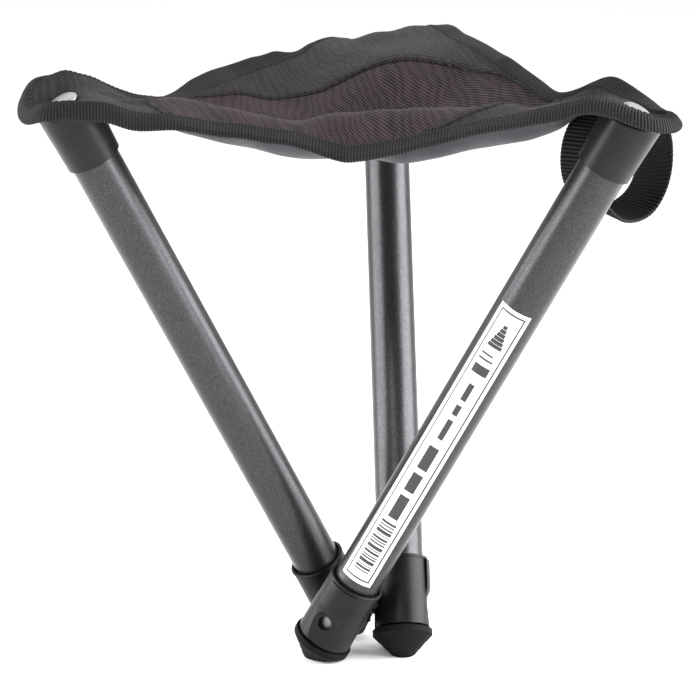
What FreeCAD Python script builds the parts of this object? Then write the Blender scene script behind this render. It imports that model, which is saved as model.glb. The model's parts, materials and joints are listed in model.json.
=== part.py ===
"""Folding stool with three telescopic legs that cross at a low central hub.

Frame: Z up, the floor at Z = 0, the origin at the bottom centre of the open stool's box.
Each leg turns on a radial pin in the hub. Leg parts are drawn about the leg's own axis,
with local Z up along the leg from the pin, local X pointing out from the hub, and then placed.
"""
import FreeCAD
import Part
import Sketcher
import math
import os
import re

Vector = FreeCAD.Vector
LEGS = ("right", "back", "left")
UP = Vector(0, 0, 1)
ALONG_X = FreeCAD.Rotation(Vector(0, 1, 0), 90)

# Driving dimensions in millimetres and degrees.
SIZES = {
    # Layout of the three crossing legs
    "lean_angle": 30.0,
    "pivot_reach": 22.7,
    "pivot_height": 25.0,
    "first_pin_azimuth": -111.53,
    "hub_axis_y": -38.92,
    "extension": 235.0,
    # Central hub, its pins and washers
    "hub_flat": 6.4,
    "hub_corner": 9.5,
    "hub_half_height": 9.0,
    "pin_radius": 2.4,
    "pin_start": 2.8,
    "pin_head_radius": 4.0,
    "pin_head_start": 9.7,
    "pin_head_end": 10.6,
    "washer_radius": 6.0,
    "washer_start": 6.5,
    "washer_thickness": 0.5,
    # Outer tube
    "tube_radius": 12.0,
    "tube_bore": 10.8,
    "tube_bottom": -4.0,
    "tube_top": 300.0,
    "lock_hole_radius": 3.65,
    "lock_hole_height": -2.5,
    # Collar at the hub
    "collar_radius": 14.0,
    "collar_flare": 0.3,
    "collar_bottom": -14.4,
    "collar_top": 21.6,
    "collar_bore": 10.4,
    "collar_bead": 0.45,
    "collar_bead_height": 1.5,
    "collar_mouth": 13.1,
    "collar_mouth_depth": 5.0,
    "boss_radius": 7.0,
    "boss_face": 7.2,
    "boss_depth": 4.5,
    "pin_clearance": 0.1,
    "shield_radius": 15.3,
    "shield_arc": 62.0,
    "scoop_floor": 12.5,
    "scoop_half_width": 6.3,
    "scoop_length": 14.0,
    "scoop_tilt": 6.4,
    # Top cap and the screw that holds the seat on it
    "cap_bottom": 276.0,
    "cap_top": 305.0,
    "cap_lower_radius": 13.5,
    "cap_upper_radius": 14.65,
    "cap_slant": 9.0,
    "cap_plug_radius": 10.75,
    "cap_plug_bottom": 284.0,
    "cap_edge_round": 2.4,
    "screw_radius": 2.4,
    "screw_bottom": 288.5,
    "screw_head_radius": 7.3,
    "screw_head_base": 307.7,
    "screw_head_rim": 0.5,
    "screw_head_crown": 1.7,
    # Inner tube, its guide bush, lock button and leaf spring
    "inner_radius": 10.1,
    "inner_bore": 8.9,
    "inner_bottom": -20.0,
    "inner_top": 273.0,
    "bush_radius": 10.5,
    "bush_bottom": 261.0,
    "bush_top": 275.0,
    "button_radius": 3.3,
    "button_hole_radius": 3.6,
    "button_tip": 10.3,
    "button_length": 5.8,
    "button_chamfer": 1.0,
    "button_flange_radius": 4.6,
    "button_flange_thickness": 1.0,
    "spring_width": 5.0,
    "spring_thickness": 0.5,
    "spring_drop": 28.0,
    "spring_wall": 8.1,
    # Rubber foot
    "foot_neck_top": -14.8,
    "foot_neck_radius": 12.0,
    "foot_rim_top": -15.6,
    "foot_rim_bottom": -18.7,
    "foot_rim_radius": 15.4,
    "foot_nose": -34.9,
    "foot_step": 0.35,
    "foot_plug_top": -8.0,
    # Printed label on the right leg
    "label_bottom": 27.0,
    "label_top": 196.0,
    "label_gap": 0.05,
    "label_thickness": 0.15,
    "label_arc": 84.0,
    "label_turn": 9.0,
    # Seat fabric
    "seat_reach": 156.0,
    "seat_corner_radius": 20.0,
    "seat_waist": 84.0,
    "seat_thickness": 0.9,
    "seat_clearance": 0.3,
    "post_reach": 142.0,
    "post_rise": 41.0,
    "post_spread": 60.0,
    "post_round": 10.0,
    "seat_base_height": 256.5,
    "belly_depth": 14.0,
    "belly_spread": 60.0,
    "rear_lift": 24.0,
    "clamp_radius": 15.0,
    "clamp_fade": 32.0,
    "patch_start": 84.0,
    "patch_thickness": 1.0,
    "patch_gap": 0.1,
    "binding_width": 6.0,
    "binding_below": 1.6,
    "binding_above": 2.6,
    "screw_relief": 7.8,
    "shank_relief": 2.8,
    # Carrying loop of webbing
    "strap_azimuth": 120.0,
    "strap_centre_x": 131.0,
    "strap_centre_y": -31.0,
    "strap_top": 278.5,
    "strap_straight": 18.0,
    "strap_reach": 26.5,
    "strap_width": 25.0,
    "strap_thickness": 1.6,
    "strap_tail": 12.0,
}

doc = FreeCAD.newDocument("tripod_stool")
sheet = doc.addObject("Spreadsheet::Sheet", "Sizes")
for row, (alias, value) in enumerate(SIZES.items(), start=1):
    sheet.set(f"A{row}", alias)
    sheet.set(f"B{row}", str(value))
    sheet.setAlias(f"B{row}", alias)
doc.recompute()


def bound(text):
    """A formula with every dimension name pointing at its spreadsheet cell."""
    return re.sub(r"[a-z_]+", lambda m: "Sizes." + m[0] if m[0] in SIZES else m[0], str(text))


def size(text):
    """The present value of a formula of dimension names."""
    return float(sheet.evalExpression(bound(text)))


def bind(obj, **formulas):
    """Drive the named properties of an object from the spreadsheet."""
    for name, text in formulas.items():
        obj.setExpression(name, bound(text))


# Places


def pin_azimuth(index):
    return size("first_pin_azimuth") + 120 * index


def leg_place(index):
    """Placement of a leg's own axes in the open stool."""
    turn = FreeCAD.Rotation(UP, pin_azimuth(index))
    lean = FreeCAD.Rotation(Vector(1, 0, 0), -size("lean_angle"))
    pin = turn.multVec(Vector(size("pivot_reach"), 0, 0))
    return FreeCAD.Placement(pin + Vector(0, size("hub_axis_y"), size("pivot_height")), turn.multiply(lean))


def hub_place(index=0):
    """Placement of the hub's axes, with local X along one leg's pin."""
    centre = Vector(0, size("hub_axis_y"), size("pivot_height"))
    return FreeCAD.Placement(centre, FreeCAD.Rotation(UP, pin_azimuth(index)))


# Sketches and features


def new_body(label, place):
    body = doc.addObject("PartDesign::Body", label)
    body.Label = label
    body.Placement = place
    return body


def new_sketch(body, role, shift=None):
    sketch = body.newObject("Sketcher::SketchObject", f"{body.Name}_sketch")
    plane = [face for face in body.Origin.OriginFeatures if face.Role == role][0]
    sketch.AttachmentSupport = (plane, [""])
    sketch.MapMode = "FlatFace"
    if shift:
        sketch.AttachmentOffset = shift
    return sketch


def locate(sketch, edge, point, corner):
    """Tie one sketch point to formulas for its distances from the sketch's origin."""
    for kind, text in zip(("DistanceX", "DistanceY"), corner):
        number = sketch.addConstraint(Sketcher.Constraint(kind, -1, 1, edge, point, size(text)))
        sketch.setExpression(f"Constraints[{number}]", bound(text))


def polygon(body, role, corners, shift=None):
    """A closed straight-sided outline whose corners are pairs of formulas."""
    sketch = new_sketch(body, role, shift)
    points = [Vector(size(a), size(b), 0) for a, b in corners]
    count = len(points)
    for edge in range(count):
        sketch.addGeometry(Part.LineSegment(points[edge], points[(edge + 1) % count]))
    for edge in range(count):
        sketch.addConstraint(Sketcher.Constraint("Coincident", edge, 2, (edge + 1) % count, 1))
    for edge, corner in enumerate(corners):
        locate(sketch, edge, 1, corner)
    return sketch


def circle(body, role, centre, radius, shift=None):
    sketch = new_sketch(body, role, shift)
    sketch.addGeometry(Part.Circle(Vector(size(centre[0]), size(centre[1]), 0), UP, size(radius)))
    locate(sketch, 0, 3, centre)
    number = sketch.addConstraint(Sketcher.Constraint("Radius", 0, size(radius)))
    sketch.setExpression(f"Constraints[{number}]", bound(radius))
    return sketch


def turned(body, corners, kind="Revolution", arc=None):
    """A profile in the local XZ plane turned about local Z, all round or over a centred arc."""
    feature = body.newObject(f"PartDesign::{kind}", f"{body.Name}_{kind.lower()}")
    feature.Profile = polygon(body, "XZ_Plane", corners)
    feature.ReferenceAxis = (feature.Profile[0], ["V_Axis"])
    feature.Angle = 360
    if arc:
        bind(feature, Angle=arc)
        feature.Midplane = True
    doc.recompute()
    return feature


def raised(body, sketch, length, both=False, back=False):
    """Material added from a sketch along its normal."""
    feature = body.newObject("PartDesign::Pad", f"{body.Name}_pad")
    feature.Profile = sketch
    bind(feature, Length=length)
    feature.Midplane = both
    feature.Reversed = back
    doc.recompute()
    return feature


def sunk(body, sketch, length, both=False, forward=False):
    """Material removed against a sketch's normal, or along it; it must remove something."""
    before = body.Shape.Volume
    feature = body.newObject("PartDesign::Pocket", f"{body.Name}_pocket")
    feature.Profile = sketch
    bind(feature, Length=length)
    feature.Midplane = both
    feature.Reversed = forward
    doc.recompute()
    if body.Shape.Volume > before - 1e-3:
        raise ValueError(f"{body.Label}: a pocket removed nothing")
    return feature


def rounded(body, radius, wanted):
    """Fillet the edges of the body's tip that the test picks."""
    base = body.Tip
    edges = [f"Edge{n}" for n, edge in enumerate(base.Shape.Edges, start=1) if wanted(edge)]
    feature = body.newObject("PartDesign::Fillet", f"{body.Name}_fillet")
    feature.Base = (base, edges)
    bind(feature, Radius=radius)
    doc.recompute()
    return feature


def ring_at(radius, height):
    """A test for a full round edge about local Z of this radius and height."""
    def test(edge):
        is_round = hasattr(edge.Curve, "Radius") and abs(edge.Curve.Radius - size(radius)) < 0.02
        return is_round and abs(edge.BoundBox.Center.z - size(height)) < 0.02
    return test


# Hub


def hub_block():
    """Three-sided block with its corners cut off, bored for three radial pins."""
    body = new_body("hub_block", hub_place())
    half_side = "sqrt(hub_corner^2 - hub_flat^2)"
    corners = []
    for turn in (0, 120, 240):
        for side in ("-", "+"):
            across = f"({side}{half_side})"
            corners.append((f"hub_flat*cos({turn}) - {across}*sin({turn})",
                            f"hub_flat*sin({turn}) + {across}*cos({turn})"))
    raised(body, polygon(body, "XY_Plane", corners), "2*hub_half_height", both=True)
    start = FreeCAD.Placement(Vector(0, 0, size("pin_start")), FreeCAD.Rotation())
    bore = sunk(body, circle(body, "YZ_Plane", ("0", "0"), "pin_radius", start), "20", forward=True)
    ring = body.newObject("PartDesign::PolarPattern", "hub_pin_bores")
    ring.Originals = [bore]
    ring.Axis = ([axis for axis in body.Origin.OriginFeatures if axis.Role == "Z_Axis"][0], [""])
    ring.Angle = 360
    ring.Occurrences = 3
    body.Tip = ring
    doc.recompute()


def rod(name, radius, start, length, place):
    """A solid round bar along the local X axis of a placement."""
    bar = doc.addObject("Part::Cylinder", name)
    bind(bar, Radius=radius, Height=length)
    bar.Placement = place.multiply(FreeCAD.Placement(Vector(size(start), 0, 0), ALONG_X))
    return bar


def joined(name, kind, shapes):
    """A Part fuse, common, cut or compound of other objects."""
    result = doc.addObject(f"Part::{kind}", name)
    if kind == "Compound":
        result.Links = shapes
    elif kind == "Cut":
        result.Base, result.Tool = shapes
    else:
        result.Shapes = shapes
    result.Label = name
    return result


def pivot_pins():
    """Three headed pins, pressed into the hub, on which the collars turn."""
    pins = []
    for index, leg in enumerate(LEGS):
        place = hub_place(index)
        shank = rod(f"pin_shank_{leg}", "pin_radius", "pin_start", "pin_head_start - pin_start", place)
        head = rod(f"pin_head_{leg}", "pin_head_radius", "pin_head_start",
                   "pin_head_end - pin_head_start", place)
        pins.append(joined(f"pin_{leg}", "MultiFuse", [shank, head]))
    return joined("pivot_pins", "Compound", pins)


def pivot_washers():
    """Three thin washers between the hub's flats and the collars' bosses."""
    washers = []
    for index, leg in enumerate(LEGS):
        place = hub_place(index)
        disc = rod(f"washer_disc_{leg}", "washer_radius", "washer_start", "washer_thickness", place)
        eye = rod(f"washer_eye_{leg}", "pin_radius + pin_clearance", "washer_start",
                  "washer_thickness", place)
        washers.append(joined(f"washer_{leg}", "Cut", [disc, eye]))
    return joined("pivot_washers", "Compound", washers)


# Leg


def outer_tube(leg, place):
    """Upper leg tube with the lock hole near its lower end."""
    body = new_body(f"outer_tube_{leg}", place)
    turned(body, [("tube_bore", "tube_bottom"), ("tube_radius", "tube_bottom"),
                  ("tube_radius", "tube_top"), ("tube_bore", "tube_top")])
    hole = circle(body, "YZ_Plane", ("0", "lock_hole_height"), "lock_hole_radius")
    sunk(body, hole, "tube_radius + 1", forward=True)


def scoop_outline(body):
    """Outline of the thumb scoop: straight sides with a round top about the lock hole."""
    place = FreeCAD.Placement(Vector(0, size("lock_hole_height"), size("scoop_floor")),
                              FreeCAD.Rotation(Vector(1, 0, 0), -size("scoop_tilt")))
    sketch = new_sketch(body, "YZ_Plane", place)
    wide = size("scoop_half_width")
    low = -size("scoop_length")
    sketch.addGeometry(Part.ArcOfCircle(Part.Circle(Vector(0, 0, 0), UP, wide), 0, math.pi))
    sketch.addGeometry(Part.LineSegment(Vector(-wide, 0, 0), Vector(-wide, low, 0)))
    sketch.addGeometry(Part.LineSegment(Vector(-wide, low, 0), Vector(wide, low, 0)))
    sketch.addGeometry(Part.LineSegment(Vector(wide, low, 0), Vector(wide, 0, 0)))
    for first, last in ((0, 1), (1, 2), (2, 3)):
        sketch.addConstraint(Sketcher.Constraint("Coincident", first, 2, last, 1))
    sketch.addConstraint(Sketcher.Constraint("Coincident", 3, 2, 0, 1))
    sketch.addConstraint(Sketcher.Constraint("Coincident", 0, 3, -1, 1))
    sketch.addConstraint(Sketcher.Constraint("PointOnObject", 0, 2, -1))
    locate(sketch, 0, 1, ("scoop_half_width", "0"))
    locate(sketch, 2, 1, ("-scoop_half_width", "-scoop_length"))
    locate(sketch, 3, 1, ("scoop_half_width", "-scoop_length"))
    return sketch


def collar(leg, place):
    """Moulded collar round the tube's lower end: pin boss inside, shield and thumb scoop outside."""
    body = new_body(f"collar_{leg}", place)
    turned(body, [("0", "collar_bottom"), ("collar_radius + collar_flare", "collar_bottom"),
                  ("collar_radius", "collar_top - collar_bead_height"),
                  ("collar_radius + collar_bead", "collar_top - collar_bead_height"),
                  ("collar_radius + collar_bead", "collar_top"), ("0", "collar_top")])
    turned(body, [("collar_mouth", "20"), ("shield_radius - 0.2", "20"), ("shield_radius", "17.5"),
                  ("shield_radius", "6"), ("collar_radius", "-0.5"), ("collar_mouth", "-0.5")],
           arc="shield_arc")
    boss_side = FreeCAD.Placement(Vector(0, 0, size("boss_face - pivot_reach")), FreeCAD.Rotation())
    raised(body, circle(body, "YZ_Plane", ("0", "0"), "boss_radius", boss_side), "boss_depth")
    turned(body, [("0", "collar_bottom - 1"), ("collar_bore", "collar_bottom - 1"),
                  ("collar_bore", "tube_bottom"), ("tube_radius", "tube_bottom"),
                  ("tube_radius", "collar_top - collar_mouth_depth"),
                  ("collar_mouth", "collar_top - collar_mouth_depth"),
                  ("collar_mouth", "collar_top + 1"), ("0", "collar_top + 1")], kind="Groove")
    sunk(body, scoop_outline(body), "6", forward=True)
    hole = circle(body, "YZ_Plane", ("0", "lock_hole_height"), "lock_hole_radius")
    sunk(body, hole, "collar_radius + 2", forward=True)
    eye = circle(body, "YZ_Plane", ("0", "0"), "pin_radius + pin_clearance")
    sunk(body, eye, "pivot_reach - boss_face + 1")
    recess = circle(body, "YZ_Plane", ("0", "0"), "pin_head_radius + 2*pin_clearance")
    sunk(body, recess, "pivot_reach - pin_head_start + pin_clearance")
    rounded(body, "0.4", ring_at("collar_radius + collar_bead", "collar_top"))


def top_cap(leg, place):
    """Moulded cap over the tube's top, its face slanted back towards level."""
    body = new_body(f"top_cap_{leg}", place)
    blank = "cap_top + 4"
    turned(body, [("0", "cap_plug_bottom"), ("cap_plug_radius", "cap_plug_bottom"),
                  ("cap_plug_radius", "tube_top"), ("tube_radius", "tube_top"),
                  ("tube_radius", "cap_bottom"), ("cap_lower_radius", "cap_bottom"),
                  ("cap_upper_radius", blank), ("0", blank)])
    wedge = polygon(body, "YZ_Plane", [("-20", "cap_top - 20*tan(cap_slant)"),
                                       ("20", "cap_top + 20*tan(cap_slant)"),
                                       ("20", "cap_top + 20"), ("-20", "cap_top + 20")])
    sunk(body, wedge, "60", both=True)
    rim = size("cap_bottom") + 20
    rounded(body, "cap_edge_round",
            lambda edge: edge.BoundBox.Center.z > rim and edge.BoundBox.XLength > 25)
    turned(body, [("0", "screw_bottom"), ("screw_radius", "screw_bottom"),
                  ("screw_radius", "cap_top + 5"), ("0", "cap_top + 5")], kind="Groove")


def seat_screw(leg, place):
    """Low-domed screw through the seat into the cap."""
    body = new_body(f"seat_screw_{leg}", place)
    rim = "screw_head_base + screw_head_rim"
    turned(body, [("0", "screw_bottom"), ("screw_radius", "screw_bottom"),
                  ("screw_radius", "screw_head_base"), ("screw_head_radius", "screw_head_base"),
                  ("screw_head_radius", rim), ("screw_head_radius*0.82", rim + " + 0.6*screw_head_crown"),
                  ("screw_head_radius*0.5", rim + " + 0.9*screw_head_crown"),
                  ("0", rim + " + screw_head_crown")])


def inner_tube(leg, place):
    """Telescopic lower leg tube, bored for the lock button."""
    body = new_body(f"inner_tube_{leg}", place)
    turned(body, [("inner_bore", "inner_bottom"), ("inner_radius", "inner_bottom"),
                  ("inner_radius", "inner_top"), ("inner_bore", "inner_top")])
    hole = circle(body, "YZ_Plane", ("0", "lock_hole_height + extension"), "button_hole_radius")
    sunk(body, hole, "inner_radius + 1", forward=True)


def guide_bush(leg, place):
    """Plastic sleeve on the inner tube's top, too wide for the collar's lower bore."""
    body = new_body(f"guide_bush_{leg}", place)
    turned(body, [("inner_radius", "bush_bottom"), ("bush_radius", "bush_bottom"),
                  ("bush_radius", "bush_top"), ("inner_bore", "bush_top"),
                  ("inner_bore", "inner_top"), ("inner_radius", "inner_top")])


def lock_button(leg, place):
    """Flanged snap button with a bevelled nose, held in by the outer tube while the leg is short."""
    height = size("lock_hole_height + extension")
    side = place.multiply(FreeCAD.Placement(Vector(0, 0, height), FreeCAD.Rotation()))
    stem = rod(f"button_stem_{leg}", "button_radius", "button_tip - button_length",
               "button_length - button_chamfer", side)
    flange = rod(f"button_flange_{leg}", "button_flange_radius",
                 "button_tip - button_length - button_flange_thickness", "button_flange_thickness", side)
    nose = doc.addObject("Part::Cone", f"button_nose_{leg}")
    bind(nose, Radius1="button_radius", Radius2="button_radius - button_chamfer", Height="button_chamfer")
    start = Vector(size("button_tip - button_chamfer"), 0, 0)
    nose.Placement = side.multiply(FreeCAD.Placement(start, ALONG_X))
    return joined(f"lock_button_{leg}", "MultiFuse", [stem, flange, nose])


def button_spring(leg, place):
    """Leaf spring bent to a V that pushes the lock button outward."""
    body = new_body(f"button_spring_{leg}", place)
    rest = "(button_tip - button_length - button_flange_thickness)"
    top = "lock_hole_height + extension + 5"
    bend = f"({top} - 10 - spring_drop)"
    outline = [(rest, top), (rest, f"{top} - 10"), ("-spring_wall + 1.5", bend), ("-spring_wall", bend),
               ("-spring_wall", top), ("-spring_wall + spring_thickness", top),
               ("-spring_wall + spring_thickness", f"{bend} + 2"),
               (f"{rest} - spring_thickness", f"{top} - 9.8"), (f"{rest} - spring_thickness", top)]
    raised(body, polygon(body, "XZ_Plane", outline), "spring_width", both=True)


def foot(leg, place):
    """Rubber foot: plug in the tube, rim, stepped cone cut flat where it meets the floor."""
    body = new_body(f"foot_{leg}", place)
    fall = "(foot_rim_bottom - foot_nose)"
    corners = [("0", "foot_plug_top"), ("inner_bore", "foot_plug_top"), ("inner_bore", "inner_bottom"),
               ("inner_radius", "inner_bottom"), ("inner_radius", "foot_neck_top"),
               ("foot_neck_radius", "foot_neck_top"), ("foot_neck_radius", "foot_rim_top"),
               ("foot_rim_radius", "foot_rim_top"), ("foot_rim_radius", "foot_rim_bottom")]
    for share in (0.18, 0.4, 0.62):
        depth = f"foot_rim_bottom - {share}*{fall}"
        radius = f"foot_rim_radius*(1 - {share})"
        corners += [(radius, depth), (f"{radius} - foot_step", depth)]
    corners.append(("0", "foot_nose"))
    turned(body, corners)
    floor_line = "({}*sin(lean_angle) - pivot_height)/cos(lean_angle)"
    below = polygon(body, "YZ_Plane", [("-30", floor_line.format(-30)), ("30", floor_line.format(30)),
                                       ("30", "-70"), ("-30", "-70")])
    sunk(body, below, "60", both=True)
    rounded(body, "0.5", ring_at("foot_rim_radius", "foot_rim_top"))


def product_label(place):
    """Thin printed label wrapped part way round the right leg's tube."""
    twist = FreeCAD.Placement(Vector(0, 0, 0), FreeCAD.Rotation(UP, size("label_turn")))
    body = new_body("product_label", place.multiply(twist))
    inner = "tube_radius + label_gap"
    outer = "tube_radius + label_gap + label_thickness"
    turned(body, [(inner, "label_bottom"), (outer, "label_bottom"), (outer, "label_top"),
                  (inner, "label_top")], arc="label_arc")


# Seat


def seat_axis():
    return Vector(0, size("hub_axis_y"), 0)


def polar(reach, azimuth):
    angle = math.radians(azimuth)
    return Vector(reach * math.cos(angle), reach * math.sin(angle), 0)


def screw_spot(index):
    """Where a leg's axis leaves the top of its cap."""
    return leg_place(index).multVec(Vector(0, 0, size("cap_top")))


def corner_azimuth(index):
    spot = screw_spot(index) - seat_axis()
    return math.degrees(math.atan2(spot.y, spot.x))


def smooth(value):
    value = min(max(value, 0.0), 1.0)
    return value * value * (3 - 2 * value)


def slung_height(point):
    """Height of the cloth hung between three posts, with a sagging belly and lifted rear edges."""
    reach = point.Length
    height = size("seat_base_height")
    for index in range(len(LEGS)):
        gap = (point - polar(size("post_reach"), corner_azimuth(index))).Length
        eased = math.hypot(gap, size("post_round")) - size("post_round")
        height += size("post_rise") * math.exp(-eased / size("post_spread"))
    height -= size("belly_depth") * math.exp(-(reach / size("belly_spread")) ** 2)
    azimuth = math.degrees(math.atan2(point.y, point.x))
    between = 0.5 - 0.5 * math.cos(math.radians(3 * (azimuth - corner_azimuth(1))))
    rear = (math.sin(math.radians(azimuth)) + 1) / 1.5
    return height + size("rear_lift") * between * rear * min(1.0, (reach / size("seat_waist")) ** 2)


def cloth_height(point):
    """Underside of the seat cloth: slung, but lying on each cap's slanted face."""
    height = slung_height(point)
    slope = math.tan(math.radians(size("lean_angle - cap_slant")))
    for index in range(len(LEGS)):
        spot = screw_spot(index)
        lean = polar(1, pin_azimuth(index) + 90)
        offset = point + seat_axis() - Vector(spot.x, spot.y, 0)
        face = spot.z + size("seat_clearance") - slope * offset.dot(lean)
        hold = 1 - smooth((offset.Length - size("clamp_radius")) / size("clamp_fade"))
        height += hold * (face - height)
    return height


def cloth_surface():
    """A smooth surface through the cloth's height on a square grid about the hub axis."""
    steps = 52
    span = 200.0
    stations = [span * (2 * n / steps - 1) for n in range(steps + 1)]
    rows = []
    for x in stations:
        rows.append([Vector(x, y, cloth_height(Vector(x, y, 0))) for y in stations])
    surface = Part.BSplineSurface()
    surface.interpolate(rows)
    return surface.toShape()


def seat_outline(inset):
    """Closed wire of a three-cornered seat: round corners, hollow sides, drawn in by the inset."""
    reach = size("seat_reach")
    corner = size("seat_corner_radius") - inset
    waist = size("seat_waist") - inset
    half = reach * math.cos(math.radians(60))
    across = reach * math.sin(math.radians(60))
    sweep = (across ** 2 + (waist - half) ** 2 - corner ** 2) / (2 * (half + corner - waist))
    edges = []
    for index in range(len(LEGS)):
        azimuth = corner_azimuth(index)
        tip = polar(reach, azimuth)
        before = polar(waist + sweep, azimuth - 60)
        after = polar(waist + sweep, azimuth + 60)
        entry = tip + (before - tip).normalize() * corner
        leave = tip + (after - tip).normalize() * corner
        following = polar(reach, azimuth + 120)
        arrive = following + (after - following).normalize() * corner
        edges.append(Part.Arc(entry, polar(reach + corner, azimuth), leave).toShape())
        edges.append(Part.Arc(leave, polar(waist, azimuth + 60), arrive).toShape())
    return Part.Wire(edges)


def column(wire):
    """A tall prism over a flat wire."""
    return Part.Face(wire).extrude(Vector(0, 0, 400))


def slab(surface, low, thick):
    """The layer between two heights above the cloth's underside."""
    layer = surface.copy()
    layer.translate(Vector(0, 0, low))
    return layer.extrude(Vector(0, 0, thick))


def drilled(shape, radius, low, high):
    """The shape less a round hole along each leg, given about the hub axis."""
    for index in range(len(LEGS)):
        place = leg_place(index)
        start = place.multVec(Vector(0, 0, low)) - seat_axis()
        axis = place.Rotation.multVec(UP)
        shape = shape.cut(Part.makeCylinder(radius, high - low, start, axis))
    return shape


def fabric(label, shape):
    """A named piece of cloth, moved from the hub axis to its place."""
    piece = doc.addObject("Part::Feature", label)
    piece.Shape = shape
    piece.Label = label
    piece.Placement = FreeCAD.Placement(seat_axis(), FreeCAD.Rotation())


def patch_outline(index):
    """The corner of the seat beyond a line across it, as a closed wire."""
    azimuth = corner_azimuth(index)
    start = polar(size("patch_start"), azimuth)
    side = polar(150, azimuth + 90)
    depth = polar(150, azimuth)
    corners = [start + side, start - side, start - side + depth, start + side + depth]
    return Part.makePolygon(corners + corners[:1])


def seat_pieces():
    """Seat panel, three corner patches on it and the binding round its edge."""
    surface = cloth_surface()
    width = size("binding_width")
    thick = size("seat_thickness")
    inner = column(seat_outline(width))
    panel = slab(surface, 0, thick).common(inner)
    panel = drilled(panel, size("shank_relief"), size("cap_top - 20"), size("cap_top + 20"))
    fabric("seat_panel", panel)
    patch_low = thick + size("patch_gap")
    patches = slab(surface, patch_low, size("patch_thickness")).common(inner)
    patches = drilled(patches, size("screw_relief"), size("cap_top - 20"), size("cap_top + 20"))
    for index, leg in enumerate(LEGS):
        fabric(f"corner_patch_{leg}", patches.common(column(patch_outline(index))))
    low = size("binding_below")
    edge = slab(surface, -low, low + size("binding_above"))
    ring = column(seat_outline(0)).cut(inner)
    band = edge.common(ring)
    for index in range(len(LEGS)):
        place = leg_place(index)
        start = place.multVec(Vector(0, 0, size("cap_bottom"))) - seat_axis()
        room = Part.makeCylinder(size("cap_upper_radius + seat_clearance"),
                                 size("cap_top - cap_bottom") + 2, start, place.Rotation.multVec(UP))
        band = band.cut(room)
    fabric("edge_binding", band)


def strap_box(name, formulas, corner, place):
    box = doc.addObject("Part::Box", name)
    bind(box, **formulas)
    box.Placement = place.multiply(FreeCAD.Placement(Vector(*[size(c) for c in corner]),
                                                     FreeCAD.Rotation()))
    return box


def carry_strap():
    """Hanging loop of webbing: two upright arms, a half round below, tails turned in under the seat."""
    turn = FreeCAD.Rotation(UP, size("strap_azimuth"))
    place = FreeCAD.Placement(Vector(size("strap_centre_x"), size("strap_centre_y + hub_axis_y"),
                                     size("strap_top - strap_straight")), turn)
    lying = place.multiply(FreeCAD.Placement(Vector(0, size("strap_width/2"), 0),
                                             FreeCAD.Rotation(Vector(1, 0, 0), 90)))
    below = lying.multiply(FreeCAD.Placement(Vector(0, 0, 0), FreeCAD.Rotation(UP, 180)))
    rounds = []
    for name, half in (("outer", "strap_thickness/2"), ("inner", "-strap_thickness/2")):
        disc = doc.addObject("Part::Cylinder", f"strap_{name}_round")
        bind(disc, Radius=f"strap_reach + {half}", Height="strap_width")
        disc.Angle = 180
        disc.Placement = below
        rounds.append(disc)
    pieces = [joined("strap_bend", "Cut", rounds)]
    arm = {"Length": "strap_thickness", "Width": "strap_width", "Height": "strap_straight"}
    tail = {"Length": "strap_tail", "Width": "strap_width", "Height": "strap_thickness"}
    near = "strap_reach - strap_thickness/2"
    top = "strap_straight - strap_thickness"
    back = "-strap_width/2"
    pieces.append(strap_box("strap_arm_near", arm, ("-strap_reach - strap_thickness/2", back, "0"), place))
    pieces.append(strap_box("strap_arm_far", arm, (near, back, "0"), place))
    pieces.append(strap_box("strap_tail_near", tail, ("-strap_reach", back, top), place))
    pieces.append(strap_box("strap_tail_far", tail, ("strap_reach - strap_tail", back, top), place))
    return joined("carry_strap", "MultiFuse", pieces)


# Assembly


def build():
    hub_block()
    pivot_pins()
    pivot_washers()
    for index, leg in enumerate(LEGS):
        place = leg_place(index)
        outer_tube(leg, place)
        collar(leg, place)
        top_cap(leg, place)
        seat_screw(leg, place)
        inner_tube(leg, place)
        guide_bush(leg, place)
        lock_button(leg, place)
        button_spring(leg, place)
        foot(leg, place)
    product_label(leg_place(0))
    seat_pieces()
    carry_strap()
    doc.recompute()


def node_names():
    names = ["hub_block", "pivot_pins", "pivot_washers", "product_label"]
    names += ["seat_panel", "edge_binding", "carry_strap"]
    kinds = ("outer_tube", "collar", "top_cap", "seat_screw", "corner_patch", "inner_tube",
             "guide_bush", "lock_button", "button_spring", "foot")
    return names + [f"{kind}_{leg}" for kind in kinds for leg in LEGS]


def export():
    for obj in doc.Objects:
        if "Invalid" in obj.State or "Error" in obj.State:
            raise ValueError(f"{obj.Label} failed: {obj.State}")
    os.makedirs("parts", exist_ok=True)
    whole = FreeCAD.BoundBox()
    for name in node_names():
        shape = doc.getObjectsByLabel(name)[0].Shape
        if shape.isNull() or not shape.isValid() or shape.Volume <= 0:
            raise ValueError(f"{name} has no valid solid")
        whole.add(shape.BoundBox)
        print(f"{name}: {len(shape.Solids)} solid(s), {shape.Volume / 1000:.2f} cm3")
        shape.exportStep(f"parts/{name}.step")
    print(f"box centre {whole.Center.x:.2f}, {whole.Center.y:.2f}, floor {whole.ZMin:.2f}")
    print(f"box {whole.XLength:.1f} x {whole.YLength:.1f} x {whole.ZLength:.1f}")


build()
export()
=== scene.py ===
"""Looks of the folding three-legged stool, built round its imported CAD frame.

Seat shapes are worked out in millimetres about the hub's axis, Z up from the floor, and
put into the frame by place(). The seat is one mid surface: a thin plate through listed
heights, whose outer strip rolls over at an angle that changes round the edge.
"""

import json
import math

import bpy
import numpy as np
from mathutils import Matrix, Vector


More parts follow.
